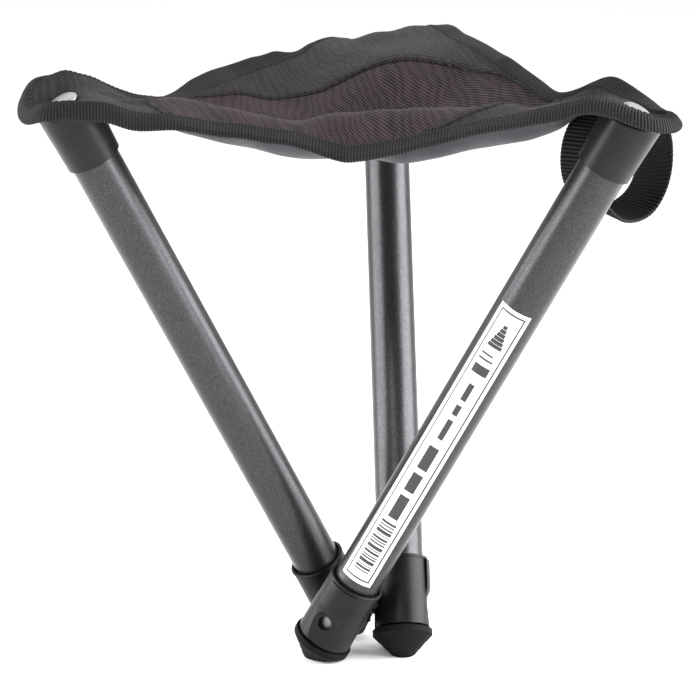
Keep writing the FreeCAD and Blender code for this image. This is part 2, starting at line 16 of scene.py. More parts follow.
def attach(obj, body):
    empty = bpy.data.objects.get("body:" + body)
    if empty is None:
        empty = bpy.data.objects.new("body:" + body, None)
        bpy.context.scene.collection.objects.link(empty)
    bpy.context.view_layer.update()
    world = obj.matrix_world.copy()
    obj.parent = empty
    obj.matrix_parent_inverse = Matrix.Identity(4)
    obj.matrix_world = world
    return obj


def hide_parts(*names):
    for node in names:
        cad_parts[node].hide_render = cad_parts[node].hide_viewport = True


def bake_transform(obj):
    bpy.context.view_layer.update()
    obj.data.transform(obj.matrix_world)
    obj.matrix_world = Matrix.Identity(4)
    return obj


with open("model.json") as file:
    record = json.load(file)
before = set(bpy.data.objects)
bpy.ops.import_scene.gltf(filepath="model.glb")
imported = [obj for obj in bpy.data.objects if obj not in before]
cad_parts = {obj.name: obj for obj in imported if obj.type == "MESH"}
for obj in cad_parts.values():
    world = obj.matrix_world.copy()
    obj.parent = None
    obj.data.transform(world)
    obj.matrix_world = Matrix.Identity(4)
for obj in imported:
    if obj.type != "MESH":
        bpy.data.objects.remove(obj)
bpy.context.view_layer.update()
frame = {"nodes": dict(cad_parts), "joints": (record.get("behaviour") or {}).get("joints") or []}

MM = 0.001
LEGS = ("right", "back", "left")
CORNER = {"right": -30.0, "back": 90.0, "left": 210.0}

# The plan of the seat, as the frame's binding has it
REACH = 156.0
CORNER_RADIUS = 20.0
WAIST = 84.0
# Layers of the seat, as heights over its mid surface
CLOTH_HALF = 0.45
PATCH_LOW = 0.5
PATCH_HIGH = 1.15
TAPE_INSIDE = 0.55
TAPE_OUTSIDE = 1.6
TAPE_WIDTH = 10.0
RIB_PITCH = 1.5
RIB_DEPTH = 0.16
WEBBING_PITCH = 1.9
# The cap's slanted face that carries each corner: its slope, its middle's height and
# distance along the leg's lean, the cloth's gap over it, and how far its ring of points is
CAP_SLOPE = math.tan(math.radians(21.0))
CAP_HEIGHT = 289.14
CAP_REACH = 152.5
CAP_GAP = 1.1
CAP_RING = 10.5
CAP_POINTS = 7


def joint(name):
    return next(j for j in frame["joints"] if j["name"] == name)


def polar(reach, azimuth):
    turn = math.radians(azimuth)
    return np.array([reach * math.cos(turn), reach * math.sin(turn)])


PIVOTS = [Vector(joint(f"fold_{leg}")["pos_m"]) for leg in LEGS]
HUB = sum(PIVOTS, Vector()) / 3


def place(points):
    """Row-frame metres of points given in millimetres about the hub's axis."""
    return np.asarray(points, float) * MM + np.array([HUB.x, HUB.y, 0.0])


def link(name, data):
    """An object made of the data and put into the scene."""
    made = bpy.data.objects.new(name, data)
    bpy.context.scene.collection.objects.link(made)
    return made


def smooth(value):
    value = np.clip(value, 0.0, 1.0)
    return value * value * (3 - 2 * value)


def travelled(points):
    """Distance along a line of points, at each of them."""
    return np.append(0.0, np.cumsum(np.linalg.norm(np.diff(points, axis=0), axis=1)))


def sample(table, distances, where):
    """Rows of the table at any distance, by straight lines between its rows."""
    return np.stack([np.interp(where, distances, column) for column in table.T], axis=-1)


# ---------------------------------------------------------------- seat shape

def cap_face_points():
    """Where the cloth lies on each cap: the middle of its face, then a ring round it."""
    points = []
    for pivot in PIVOTS:
        x, y, _ = (pivot - HUB) / MM
        lean = polar(1.0, math.degrees(math.atan2(y, x)) + 90)
        top = np.array([x, y]) + CAP_REACH * lean
        base = CAP_HEIGHT + CAP_GAP
        points.append((*top, base))
        for number in range(1, CAP_POINTS):
            step = polar(CAP_RING, number * 360 / (CAP_POINTS - 1))
            points.append((*(top + step), base - CAP_SLOPE * step.dot(lean)))
    return points


# Heights of the seat's mid surface: (x, y, z) in millimetres about the hub's axis
RIM = [
    # front edge, from the left corner to the right one
    (-149, -91, 291), (-142, -94, 292.5), (-130, -93, 292.8), (-118, -88, 292.5), (-109, -80, 290.8),
    (-99, -76, 288.3), (-79, -76, 286.2), (-59, -76, 282.8), (-38, -76, 280), (-18, -76, 276.8),
    (-9, -76, 274.6), (0, -76, 272.8), (10, -76, 274), (27, -76, 277.2), (41, -76, 281),
    (55, -76, 284.4), (69, -76, 287.3), (83, -76, 290),
    (95, -76, 292.6), (104, -77, 295), (112, -82, 297.5), (120, -86, 297), (128, -89, 294.5),
    (136, -92, 291.8), (146, -90, 290.5), (151, -82, 291),
    # right corner's tip and rear
    (152, -73, 294.5), (146, -62, 296.5), (138, -53, 296), (129, -44, 297), (122, -37, 300.5),
    (116, -30, 301), (109, -21, 297), (101, -11, 292), (93, -2, 288.5),
    # back right edge
    (84, 8, 290), (74, 24, 295.3), (65, 39, 299.3), (56, 55, 302.3), (48, 71, 304.5), (40, 88, 306.5),
    (34, 106, 309.5),
    # back corner's rim
    (28, 122, 307.5), (23, 138, 302), (19, 156, 296), (8, 171, 292), (-8, 171, 292), (-19, 156, 295),
    (-24, 138, 299.5), (-31, 118, 300), (-38, 98, 298.6),
    # back left edge
    (-46, 76, 295.3), (-55, 57, 292), (-64, 41, 289.3), (-74, 23, 286.5), (-83, 9, 283),
    # left corner's rear and tip
    (-93, -5, 283.5), (-103, -16, 285.5), (-113, -27, 289.5), (-123, -38, 295), (-132, -48, 300.5),
    (-140, -57, 305), (-147, -66, 304), (-152, -76, 299), (-153, -85, 293.5),
]
INSIDE = [
    # the sagging middle, a long valley from side to side
    (0, 0, 258.5), (-22, 2, 259), (24, 2, 260.5), (0, -24, 261), (0, 22, 264), (-42, -12, 261),
    (46, -14, 263), (-64, -20, 265), (66, -20, 266), (-84, -28, 270.5), (86, -28, 271.5),
    (-98, -36, 277), (101, -38, 279), (-40, -34, 264), (42, -34, 264.5), (20, -36, 264), (-20, -38, 265),
    # apron behind the front edge, highest along a soft ridge
    (-90, -50, 289), (-80, -55, 290.5), (-70, -60, 289.5), (-56, -65, 287.5), (-38, -68, 284.5),
    (-24, -60, 281.5), (-14, -58, 284), (-5, -58, 286), (14, -58, 287.8), (30, -58, 288.6), (45, -58, 289.4),
    (60, -59, 289.9), (75, -60, 291),
    # under the back patch's hem: a valley, then a ridge towards the back corner
    (-64, 22, 281.5), (-50, 38, 280), (-35, 44, 279.8), (-19, 50, 283), (-5, 54, 289.5), (5, 57, 294.5),
    (18, 57, 297), (35, 52, 296.5), (52, 38, 291.5), (66, 12, 283), (12, 34, 276), (-24, 26, 269),
    (36, 26, 276),
    # the back patch's rise
    (-40, 60, 286), (-30, 72, 289), (-28, 90, 295), (-14, 84, 297), (4, 90, 302), (22, 92, 305),
    (-18, 112, 301), (0, 118, 304.5), (16, 120, 307),
    # towards the corners' caps
    (108, -62, 291.5), (112, -76, 297), (-112, -62, 290), (-108, -74, 290), (-118, -46, 293),
    (0, 132, 296.5),
]


def thin_plate(points, softness):
    """Height over the plan of a thin plate that nearly passes through the points."""
    table = np.array(points, float)
    known = table[:, :2]

    def kernel(first, second):
        gap = np.linalg.norm(first[:, None, :] - second[None, :, :], axis=2) ** 2
        return 0.5 * gap * np.log(gap + 1e-9)

    count = len(known)
    plane = np.hstack([np.ones((count, 1)), known])
    system = np.zeros((count + 3, count + 3))
    system[:count, :count] = kernel(known, known) + softness * np.eye(count)
    system[:count, count:] = plane
    system[count:, :count] = plane.T
    answer = np.linalg.solve(system, np.append(table[:, 2], [0, 0, 0]))

    def height(plan):
        flat = np.asarray(plan, float).reshape(-1, 2)
        found = kernel(flat, known) @ answer[:count]
        found += answer[count] + flat @ answer[count + 1:]
        return found.reshape(np.asarray(plan).shape[:-1])

    return height


# How loosely the surface keeps to the heights, in the thin plate's own units
SOFTNESS = 14.0
base_height = thin_plate(RIM + INSIDE + cap_face_points(), SOFTNESS)
CAP_MIDDLES = [np.array(point[:2]) for point in cap_face_points()[::CAP_POINTS]]
# The cloth's unevenness: height of the ripples all over, and of the folds at the caps
RIPPLE = 0.35
FOLD = 0.8
# Folds start this far from a cap's middle, fade over this length and this angle, and
# the first cap has this many to a turn
FOLD_START = 16.0
FOLD_FADE = 52.0
FOLD_SPREAD = 0.95
FOLDS = 11.0
# Ripples are gone within the first distance of a cap's middle, and come back over the next
FLAT_CAP, FLAT_FADE = 13.0, 12.0


def wrapped(angle):
    """The same angle within half a turn of zero."""
    return (angle + math.pi) % (2 * math.pi) - math.pi


def wrinkles(plan):
    """Small tension folds that fan out from each cap, and a slow unevenness all over."""
    plan = np.asarray(plan, float)
    x, y = plan[..., 0], plan[..., 1]
    lift = RIPPLE * np.sin(x / 7.1 + 1.3 * np.sin(y / 11.0)) * np.sin(y / 8.3 + 0.9 * np.sin(x / 13.0))
    for number, middle in enumerate(CAP_MIDDLES):
        away = plan - middle
        gap = np.linalg.norm(away, axis=-1)
        inward = math.atan2(-middle[1], -middle[0])
        fan = wrapped(np.arctan2(away[..., 1], away[..., 0]) - inward)
        past = gap - FOLD_START
        fade = np.exp(-(past / FOLD_FADE) ** 2) * np.exp(-(fan / FOLD_SPREAD) ** 2)
        folds = FOLD * np.cos(fan * (FOLDS + number) + 0.8 * number)
        lift = lift * smooth((gap - FLAT_CAP) / FLAT_FADE) + smooth(past / FOLD_START) * fade * folds
    return lift


def height(plan):
    return base_height(plan) + wrinkles(plan)


# How far the edge strip turns down at its outer rim, in degrees, against the distance
# along the edge from a corner's tip: negative distances lie clockwise of the tip.
# The third number is the width over which it turns.
ROLL = {
    "right": [(-160, 40, 6), (-130, 30, 8), (-100, 28, 8), (-84, 32, 8), (-70, 46, 8), (-58, 72, 8),
              (-50, 84, 8), (-36, 80, 7), (-16, 74, 6), (0, 66, 6), (14, 52, 6), (26, 10, 5),
              (38, -6, 5), (52, -42, 4), (62, -38, 4), (74, -14, 5), (90, -8, 6), (110, -8, 6),
              (157, -8, 6)],
    "back": [(-157, -8, 6), (-120, -8, 6), (-95, -12, 6), (-76, -4, 6), (-60, 35, 6), (-45, 60, 6),
             (0, 62, 6), (60, 62, 6), (88, 50, 6), (102, 5, 5), (114, -20, 5), (128, -30, 5),
             (142, -36, 5), (157, -40, 5)],
    "left": [(-157, -40, 5), (-140, -42, 5), (-126, -40, 5), (-112, -5, 6), (-92, 60, 6), (-40, 70, 5),
             (-14, 66, 5), (0, 60, 5), (16, 74, 4), (40, 80, 4), (54, 74, 4), (64, 52, 5), (76, 32, 6),
             (92, 26, 8), (120, 27, 8), (145, 34, 7), (157, 40, 6)],
}


class Edge:
    """The seat's outline in the third that holds one corner, from waist to waist."""

    def __init__(self, leg):
        self.leg = leg
        azimuth = CORNER[leg]
        half = REACH * math.cos(math.radians(60))
        across = REACH * math.sin(math.radians(60))
        self.sweep = across ** 2 + (WAIST - half) ** 2 - CORNER_RADIUS ** 2
        self.sweep /= 2 * (half + CORNER_RADIUS - WAIST)
        self.tip = polar(REACH, azimuth)
        self.before = polar(WAIST + self.sweep, azimuth - 60)
        self.after = polar(WAIST + self.sweep, azimuth + 60)
        toward = self.after - self.tip
        bend = abs(wrapped(math.atan2(toward[1], toward[0]) - math.radians(azimuth)))
        self.round = CORNER_RADIUS * bend
        side = self.sweep * math.atan2(across, WAIST + self.sweep - half)
        self.length = self.round + side

    def at(self, along):
        """Outline points and outward directions at distances along the edge from the tip."""
        along = np.asarray(along, float)
        turn = np.clip(along, -self.round, self.round) / CORNER_RADIUS + math.radians(CORNER[self.leg])
        outward = np.stack([np.cos(turn), np.sin(turn)], axis=-1)
        points = self.tip + CORNER_RADIUS * outward
        extra = np.abs(along) - self.round
        for sign, centre in ((-1, self.before), (1, self.after)):
            start = self.tip - centre
            first = math.atan2(start[1], start[0])
            angle = first - sign * np.maximum(extra, 0) / self.sweep
            spoke = np.stack([np.cos(angle), np.sin(angle)], axis=-1)
            chosen = (extra > 0) & (np.sign(along) == sign)
            points = np.where(chosen[..., None], centre + self.sweep * spoke, points)
            outward = np.where(chosen[..., None], -spoke, outward)
        return points, outward

    def roll(self, along):
        table = np.array(ROLL[self.leg], float)
        return (np.radians(np.interp(along, table[:, 0], table[:, 1])),
                np.interp(along, table[:, 0], table[:, 2]))


EDGES = {leg: Edge(leg) for leg in LEGS}


class Strip:
    """The rolled outer strip of the seat at given distances along one third's edge.

    It starts where the flat cloth ends, at inner, and its turned edge just reaches the
    outline. The inset is found in a few rounds, since the cloth's slope depends on it.
    """

    STEPS = 40
    ROUNDS = 3
    FIRST_INSET = 6.0
    EASE_REACH, EASE_WIDTH, EASE_STEPS = 9.0, 5.0, 13

    def __init__(self, leg, along):
        self.edge = EDGES[leg]
        self.along = np.asarray(along, float)
        rim, self.outward = self.edge.at(self.along)
        end, width = self.soft_roll()
        self.reach = np.linspace(0, TAPE_WIDTH, self.STEPS + 1)
        inset = np.full(len(self.along), self.FIRST_INSET)
        for _ in range(self.ROUNDS):
            start = self.slope(rim - inset[:, None] * self.outward)
            share = smooth(self.reach[None, :] / width[:, None])
            self.pitch = start[:, None] + (end - start)[:, None] * share
            inset = self.summed(np.cos(self.pitch)).max(axis=1)
        self.inner = rim - inset[:, None] * self.outward
        self.run = self.summed(np.cos(self.pitch))
        self.drop = self.summed(np.sin(self.pitch))
        self.base = height(self.inner)

    def soft_roll(self):
        """Roll of the edge, eased along its length, and continued past a waist."""
        spread = np.linspace(-self.EASE_REACH, self.EASE_REACH, self.EASE_STEPS)
        weight = np.exp(-(spread / self.EASE_WIDTH) ** 2)
        ends, widths = 0, 0
        for shift, share in zip(spread, weight / weight.sum()):
            end, width = neighbour_roll(self.edge.leg, self.along + shift)
            ends = ends + share * end
            widths = widths + share * width
        return ends, widths

    def slope(self, points):
        """Downward pitch of the cloth across the edge."""
        step = 1.5
        rise = height(points) - height(points - step * self.outward)
        return -np.arctan2(rise, step)

    def summed(self, values):
        pace = np.diff(self.reach)[None, :]
        parts = (values[:, 1:] + values[:, :-1]) / 2 * pace
        return np.hstack([np.zeros((len(values), 1)), np.cumsum(parts, axis=1)])

    def at(self, reach, lift):
        """Points at a distance across the strip, raised along the cloth's normal.

        Both may change along the strip. Past its rim the strip goes on straight.
        """
        reach = np.broadcast_to(np.asarray(reach, float), self.along.shape)
        rows = np.arange(len(self.along))
        spot = np.clip(reach / TAPE_WIDTH * self.STEPS, 0, self.STEPS - 1e-6)
        low = spot.astype(int)
        share = spot - low
        over = np.maximum(reach - TAPE_WIDTH, 0.0)

        def pick(table):
            return table[rows, low] * (1 - share) + table[rows, low + 1] * share

        pitch = pick(self.pitch)
        run = pick(self.run) + over * np.cos(pitch)
        drop = pick(self.drop) + over * np.sin(pitch)
        plan = self.inner + (run + lift * np.sin(pitch))[:, None] * self.outward
        rise = self.base - drop + lift * np.cos(pitch)
        return np.hstack([plan, rise[:, None]])

    def normals(self, reach):
        """The cloth's upward normals at a distance across the strip."""
        return self.at(reach, 1.0) - self.at(reach, 0.0)


def neighbour_roll(leg, along):
    """Roll at distances that may run past this third's ends into the next one."""
    edge = EDGES[leg]
    index = LEGS.index(leg)
    full = 2 * edge.length
    end, width = edge.roll(along)
    for sign in (-1, 1):
        other = EDGES[LEGS[(index + sign) % 3]]
        past = sign * along > edge.length
        end_b, width_b = other.roll(along - sign * full)
        end, width = np.where(past, end_b, end), np.where(past, width_b, width)
    return end, width


# ---------------------------------------------------------------- meshes

def grid_faces(rows, columns, start=0, flip=False, wrap=False):
    """Four-cornered faces of a grid whose points are numbered row by row."""
    last = columns if wrap else columns - 1
    faces = []
    for row in range(rows - 1):
        for column in range(last):
            a = start + row * columns + column
            b = start + row * columns + (column + 1) % columns
            face = (a, b, b + columns, a + columns)
            faces.append(face[::-1] if flip else face)
    return faces


def facing_out(points, faces):
    """The faces of a closed shape, turned so that they all look outward."""
    points = np.asarray(points, float)
    volume = 0.0
    for face in faces:
        a = points[face[0]]
        for second, third in zip(face[1:], face[2:]):
            volume += a.dot(np.cross(points[second], points[third]))
    return faces if volume > 0 else [face[::-1] for face in faces]


def make_mesh(name, points, faces, materials, indices=None, weave=None, normals=None):
    """A mesh piece from points in millimetres about the hub's axis."""
    mesh = bpy.data.meshes.new(name)
    faces = facing_out(points, faces)
    mesh.from_pydata(place(points).tolist(), [], faces)
    for material in materials:
        mesh.materials.append(material)
    if indices is not None:
        mesh.polygons.foreach_set("material_index", indices)
    mesh.polygons.foreach_set("use_smooth", [True] * len(mesh.polygons))
    if weave is not None:
        layer = mesh.attributes.new("weave", "FLOAT_VECTOR", "POINT")
        layer.data.foreach_set("vector", np.asarray(weave, np.float32).ravel())
    mesh.update()
    if normals is not None:
        mesh.normals_split_custom_set_from_vertices(np.asarray(normals, float).tolist())
    return link(name, mesh)


def plate_faces(rows, columns, start=0):
    """Faces of a closed plate, from grids of its upper and then its lower points."""
    count = rows * columns
    faces = grid_faces(rows, columns, start) + grid_faces(rows, columns, start + count, flip=True)
    grid = start + np.arange(count).reshape(rows, columns)
    ring = np.concatenate([grid[:, 0], grid[-1, 1:], grid[-2::-1, -1], grid[0, -2:0:-1]]).tolist()
    for first, second in zip(ring, ring[1:] + ring[:1]):
        faces.append((first, second, second + count, first + count))
    return faces


def bar_faces(count, profile):
    """Faces of a closed bar: count sections of profile points each, and its two ends."""
    faces = grid_faces(count, profile, wrap=True, flip=True)
    faces.append(tuple(range(profile)))
    faces.append(tuple(range((count - 1) * profile, count * profile))[::-1])
    return faces


def closed_sheet(name, low, high, materials, weave, normals):
    """A sheet with two faces and a rim, from grids of its lower and upper points."""
    rows, columns = low.shape[:2]
    points = np.vstack([high.reshape(-1, 3), low.reshape(-1, 3)])
    faces = plate_faces(rows, columns)
    upper = (rows - 1) * (columns - 1)
    indices = [0] * upper + [1] * upper + [0] * (len(faces) - 2 * upper)
    stacked = np.vstack([normals.reshape(-1, 3), -normals.reshape(-1, 3)])
    woven = np.vstack([weave.reshape(-1, 3)] * 2)
    return make_mesh(name, points, faces, materials, indices, woven, stacked)


def follow_leg(piece):
    """Bakes the piece's placement into its points."""
    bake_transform(piece)


# ---------------------------------------------------------------- materials

class Nodes:
    """The shader nodes of a material or a world, made and joined by short calls."""

    def __init__(self, owner):
        owner.use_nodes = True
        self.tree = owner.node_tree

    def node(self, kind, settings=None, **inputs):
        made = self.tree.nodes.new(f"ShaderNode{kind}")
        for key, value in (settings or {}).items():
            setattr(made, key, value)
        for key, value in inputs.items():
            self.put(made, key.replace("_", " "), value)
        return made

    def put(self, node, key, value):
        socket = node.inputs[key]
        if isinstance(value, bpy.types.NodeSocket):
            self.tree.links.new(value, socket)
        elif isinstance(value, bpy.types.Node):
            self.tree.links.new(value.outputs[0], socket)
        else:
            socket.default_value = value

    def math(self, operation, *values):
        made = self.node("Math", {"operation": operation})
        for number, value in enumerate(values):
            self.put(made, number, value)
        return made.outputs[0]

    def times(self, first, second, extra=0.0):
        """One value times another, plus a third."""
        return self.math("MULTIPLY_ADD", first, second, extra)

    def wave(self, value, period):
        return self.math("SINE", self.times(value, 2 * math.pi / period))

    def coordinates(self, scale=(1, 1, 1), turn=(0, 0, 0), attribute=None):
        """Mesh coordinates in metres, or a named point attribute, turned and scaled."""
        if attribute:
            source = self.node("Attribute", {"attribute_name": attribute}).outputs["Vector"]
        else:
            source = self.node("TexCoord").outputs["Object"]
        return self.node("Mapping", Vector=source, Rotation=turn, Scale=scale).outputs[0]

    def noise(self, where, scale, detail, rough):
        return self.node("TexNoise", Vector=where, Scale=scale, Detail=detail, Roughness=rough).outputs[0]

    def ramp(self, value, stops):
        """Colours or greys against a value from 0 to 1."""
        made = self.node("ValToRGB", Fac=value)
        band = made.color_ramp
        while len(band.elements) < len(stops):
            band.elements.new(0.5)
        for element, (position, colour) in zip(band.elements, stops):
            element.position = position
            element.color = (*colour, 1) if isinstance(colour, tuple) else (colour,) * 3 + (1,)
        return made.outputs[0]

    def multiply(self, first, second):
        settings = {"blend_type": "MULTIPLY"}
        return self.node("MixRGB", settings, Fac=1.0, Color1=first, Color2=second).outputs[0]

    def bump(self, value, distance, strength=1.0, before=None):
        made = self.node("Bump", Height=value, Distance=distance, Strength=strength)
        if before is not None:
            self.put(made, "Normal", before)
        return made.outputs[0]


class Paint(Nodes):
    """A procedural material."""

    def __init__(self, name):
        self.material = bpy.data.materials.new(name)
        super().__init__(self.material)
        self.tree.nodes.clear()
        self.shader = self.node("BsdfPrincipled")
        self.node("OutputMaterial", Surface=self.shader)

    def finish(self, colour, roughness, normal=None, metallic=0.0, **fixed):
        self.put(self.shader, "Base Color", colour if not isinstance(colour, tuple) else (*colour, 1))
        self.put(self.shader, "Roughness", roughness)
        self.shader.inputs["Metallic"].default_value = metallic
        if normal is not None:
            self.put(self.shader, "Normal", normal)
        for key, value in fixed.items():
            self.shader.inputs[key.replace("_", " ")].default_value = value
        return self.material


def leg_paint(leg):
    """Dark grey metallic powder coat with fine flecks and faint lengthwise streaks."""
    paint = Paint(f"leg_paint_{leg}")
    axis = Vector(joint(f"extend_{leg}")["axis"])
    turn = axis.rotation_difference(Vector((0, 0, 1))).to_euler()
    along = paint.coordinates((420.0, 420.0, 14.0), tuple(turn))
    fleck = paint.noise(paint.coordinates(), 1500.0, 2.0, 0.6)
    grain = paint.noise(paint.coordinates(), 420.0, 3.0, 0.6)
    streak = paint.noise(along, 1.0, 3.0, 0.6)
    worn = paint.noise(paint.coordinates(), 26.0, 4.0, 0.6)
    base = paint.ramp(fleck, [(0.3, (0.032, 0.031, 0.034)), (0.52, (0.048, 0.047, 0.050)),
                              (0.7, (0.076, 0.074, 0.078))])
    shade = paint.ramp(streak, [(0.3, 0.86), (0.7, 1.0)])
    rough = paint.ramp(worn, [(0.3, 0.28), (0.7, 0.36)])
    relief = paint.bump(grain, 0.00006, 0.25)
    relief = paint.bump(fleck, 0.00003, 0.25, relief)
    return paint.finish(paint.multiply(base, shade), rough, relief, metallic=0.8)


def moulded(name, dark, light, rough, grain_scale=1100.0, depth=0.00006, shine=0.2):
    """Fine-textured moulded plastic or rubber with handled, slightly polished patches."""
    paint = Paint(name)
    where = paint.coordinates()
    grain = paint.noise(where, grain_scale, 2.0, 0.5)
    dust = paint.noise(where, 45.0, 5.0, 0.65)
    colour = paint.ramp(dust, [(0.35, dark), (0.75, light)])
    gloss = paint.ramp(dust, [(0.3, rough - 0.05), (0.7, rough + 0.06)])
    relief = paint.bump(grain, depth, 0.5)
    return paint.finish(colour, gloss, relief, Specular_IOR_Level=shine)


def metal(name, colour, rough, scale=900.0, stretch=1.0):
    """Bare metal with faint drawn or turned lines, which stretch draws out along Z."""
    paint = Paint(name)
    lines = paint.noise(paint.coordinates((scale, scale, scale * stretch)), 1.0, 3.0, 0.6)
    cloud = paint.noise(paint.coordinates(), 60.0, 4.0, 0.6)
    deep = tuple(0.72 * c for c in colour)
    tint = paint.ramp(cloud, [(0.3, deep), (0.7, colour)])
    gloss = paint.ramp(lines, [(0.3, rough - 0.08), (0.7, rough + 0.08)])
    relief = paint.bump(lines, 0.00003, 0.3)
    return paint.finish(tint, gloss, relief, metallic=1.0)


# Spacing, in metres, of the faint bands where the twill's threads lie unevenly
UNEVEN_PITCH = 0.0045


def twill(name, dark, light, pitch, sheen):
    """Fine diagonal nylon twill, its lines a little uneven, with a soft sheen."""
    paint = Paint(name)
    where = paint.coordinates(attribute="weave")
    drift = paint.noise(where, 30.0, 2.0, 0.5)
    x, y, _ = paint.node("SeparateXYZ", Vector=where).outputs
    diagonal = paint.times(x, 0.8, y)
    line = paint.times(paint.wave(paint.times(drift, 0.004, diagonal), pitch), 0.5, 0.5)
    thread = paint.math("SUBTRACT", x, paint.times(y, 0.8))
    knot = paint.times(paint.wave(thread, pitch * 0.62), 0.25, 0.5)
    weave = paint.times(line, 0.7, paint.times(knot, 0.3))
    cloud = paint.noise(where, 55.0, 4.0, 0.6)
    speck = paint.noise(where, 900.0, 2.0, 0.6)
    slant = paint.times(drift, 0.03, paint.times(y, 0.45, x))
    uneven = paint.wave(slant, UNEVEN_PITCH)
    share = paint.times(weave, 0.55, paint.times(speck, 0.35))
    share = paint.times(cloud, 0.35, share)
    share = paint.times(uneven, 0.07, share)
    colour = paint.ramp(share, [(0.36, dark), (0.86, light)])
    relief = paint.bump(weave, 0.00035, 0.8)
    relief = paint.bump(speck, 0.00014, 0.5, relief)
    return paint.finish(colour, 0.78, relief, Sheen_Weight=sheen, Sheen_Roughness=0.45,
                        Specular_IOR_Level=0.16)


def coated(name, dark, light):
    """The seat's coated underside: smoother, greyer, with the weave only just showing."""
    paint = Paint(name)
    where = paint.coordinates(attribute="weave")
    cloud = paint.noise(where, 38.0, 5.0, 0.6)
    cells = paint.node("TexVoronoi", Vector=where, Scale=900.0).outputs["Distance"]
    colour = paint.ramp(cloud, [(0.3, dark), (0.75, light)])
    relief = paint.bump(cells, 0.00015, 0.4)
    return paint.finish(colour, 0.6, relief, Sheen_Weight=0.05, Sheen_Roughness=0.4,
                        Specular_IOR_Level=0.25)


def ribbed(name, dark, light, pitch, sheen):
    """Woven tape: rows of short threads side by side. weave.x runs along the tape."""
    paint = Paint(name)
    where = paint.coordinates(attribute="weave")
    along, across, _ = paint.node("SeparateXYZ", Vector=where).outputs
    rib = paint.times(paint.wave(along, pitch), 0.5, 0.5)
    row = paint.times(across, 2 * math.pi / (pitch * 0.72))
    shift = paint.times(paint.math("FLOOR", paint.times(along, 1 / pitch)), math.pi)
    thread = paint.times(paint.math("SINE", paint.math("ADD", row, shift)), 0.5, 0.5)
    speck = paint.noise(where, 1100.0, 2.0, 0.6)
    cloud = paint.noise(where, 60.0, 3.0, 0.6)
    share = paint.times(rib, paint.times(thread, 0.55, 0.45))
    tone = paint.times(speck, 0.3, paint.times(share, 0.75))
    tone = paint.times(cloud, 0.2, tone)
    colour = paint.ramp(tone, [(0.18, dark), (0.95, light)])
    relief = paint.bump(share, 0.00035, 0.8)
    relief = paint.bump(speck, 0.0001, 0.4, relief)
    return paint.finish(colour, 0.8, relief, Sheen_Weight=sheen, Sheen_Roughness=0.5,
                        Specular_IOR_Level=0.16)


def film(name, colour, rough):
    """Printed polyester film, faintly uneven."""
    paint = Paint(name)
    cloud = paint.noise(paint.coordinates(), 70.0, 3.0, 0.6)
    shade = paint.ramp(cloud, [(0.3, tuple(0.93 * c for c in colour)), (0.7, colour)])
    relief = paint.bump(cloud, 0.00005, 0.2)
    return paint.finish(shade, rough, relief, Coat_Weight=0.3, Coat_Roughness=0.15)


PANEL = twill("panel_nylon", (0.001, 0.0007, 0.0008), (0.054, 0.037, 0.041), 0.0016, 0.04)
PATCH = twill("patch_nylon", (0.001, 0.0008, 0.0009), (0.034, 0.0295, 0.031), 0.0014, 0.04)
UNDERSIDE = coated("panel_underside", (0.018, 0.015, 0.020), (0.050, 0.044, 0.054))
TAPE = ribbed("binding_tape", (0.001, 0.001, 0.001), (0.038, 0.036, 0.037), RIB_PITCH * MM, 0.02)
WEBBING = ribbed("strap_webbing", (0.002, 0.002, 0.002), (0.028, 0.026, 0.027), WEBBING_PITCH * MM, 0.02)
THREAD = ribbed("sewing_thread", (0.006, 0.006, 0.006), (0.05, 0.049, 0.05), 0.0005, 0.05)
FILM = film("label_film", (0.86, 0.86, 0.85), 0.32)
INK = film("label_ink", (0.012, 0.012, 0.013), 0.38)

NODE_MATERIALS = {
    "collar": moulded("collar_plastic", (0.003, 0.003, 0.004), (0.009, 0.009, 0.010), 0.38),
    "top_cap": moulded("cap_plastic", (0.006, 0.006, 0.007), (0.014, 0.014, 0.015), 0.34),
    "hub_block": moulded("hub_plastic", (0.010, 0.010, 0.011), (0.022, 0.022, 0.024), 0.45),
    "guide_bush": moulded("bush_plastic", (0.48, 0.48, 0.46), (0.60, 0.60, 0.58), 0.45),
    "pivot_washers": moulded("washer_plastic", (0.40, 0.40, 0.38), (0.55, 0.55, 0.53), 0.45),
    "foot": moulded("foot_rubber", (0.005, 0.005, 0.006), (0.012, 0.012, 0.012), 0.62, 700.0, 0.00012, 0.06),
    "seat_screw": metal("screw_steel", (0.46, 0.45, 0.45), 0.52),
    "pivot_pins": metal("pin_steel", (0.50, 0.50, 0.51), 0.34),
    "lock_button": metal("button_steel", (0.50, 0.50, 0.51), 0.30),
    "button_spring": metal("spring_steel", (0.40, 0.40, 0.41), 0.34),
    # The inner tube's colour is painted shade: far darker than bare aluminium, so that it shows dark through
    # the lock button's hole.
    "inner_tube": metal("inner_aluminium", (0.20, 0.20, 0.21), 0.45, 500.0, 0.05),
}


def dress_frame():
    """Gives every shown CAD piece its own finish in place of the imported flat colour."""
    paints = {leg: leg_paint(leg) for leg in LEGS}
    for name, piece in frame["nodes"].items():
        kind = name
        for leg in LEGS:
            kind = kind.removesuffix(f"_{leg}")
        if kind == "outer_tube":
            chosen = paints[name.removeprefix("outer_tube_")]
        else:
            chosen = NODE_MATERIALS.get(kind, PANEL)
        piece.data.materials.clear()
        piece.data.materials.append(chosen)


# ---------------------------------------------------------------- seat pieces

# Distances across the strip where the cloth has a row of points, inside the binding
STRIP_ROWS = (2.0, 4.0, 6.0, 7.5, 8.8)
CLOTH_COLUMNS = 221
CLOTH_ROWS = 74


def flat_weave(points):
    """Weave coordinates of a sheet's points: their places in plan, in metres."""
    return np.dstack([points[..., :2] * MM, np.zeros(points.shape[:2])])


